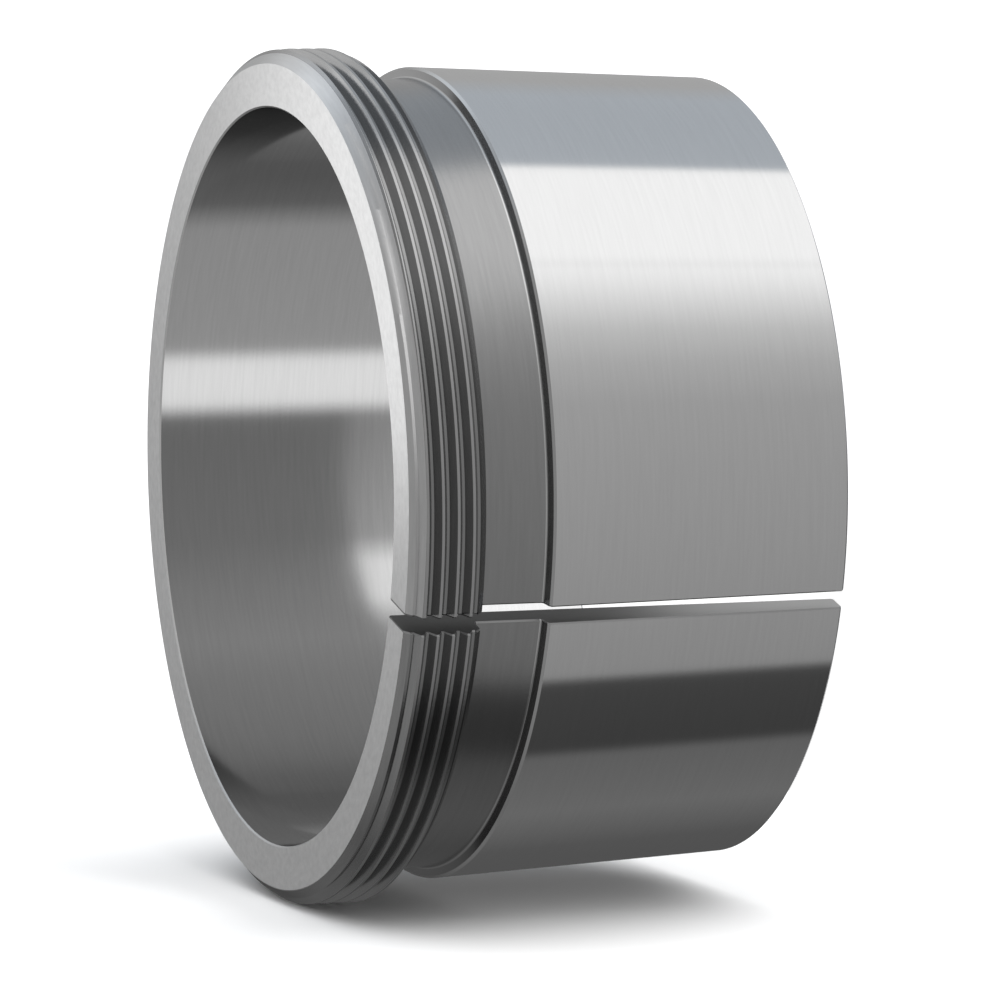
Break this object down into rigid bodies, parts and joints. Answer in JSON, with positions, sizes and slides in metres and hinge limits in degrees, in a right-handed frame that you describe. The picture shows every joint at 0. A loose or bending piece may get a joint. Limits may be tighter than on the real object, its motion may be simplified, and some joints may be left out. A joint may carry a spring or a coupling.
{
  "type": "withdrawal sleeve",
  "caption": "Slotted steel withdrawal sleeve with a plain bore, a tapered seat, a relief neck and an external thread at the thick end.",
  "frame": {"origin": "centre of the small end face, which the sleeve stands on", "axes": "+Z along the bore axis towards the threaded end, the slot on the -Y side"},
  "size_m": [0.11, 0.11, 0.059],
  "materials": {
    "steel": "turned and ground"
  },
  "bodies": {
    "root": {"sleeve": "steel"}
  },
  "joints": []
}
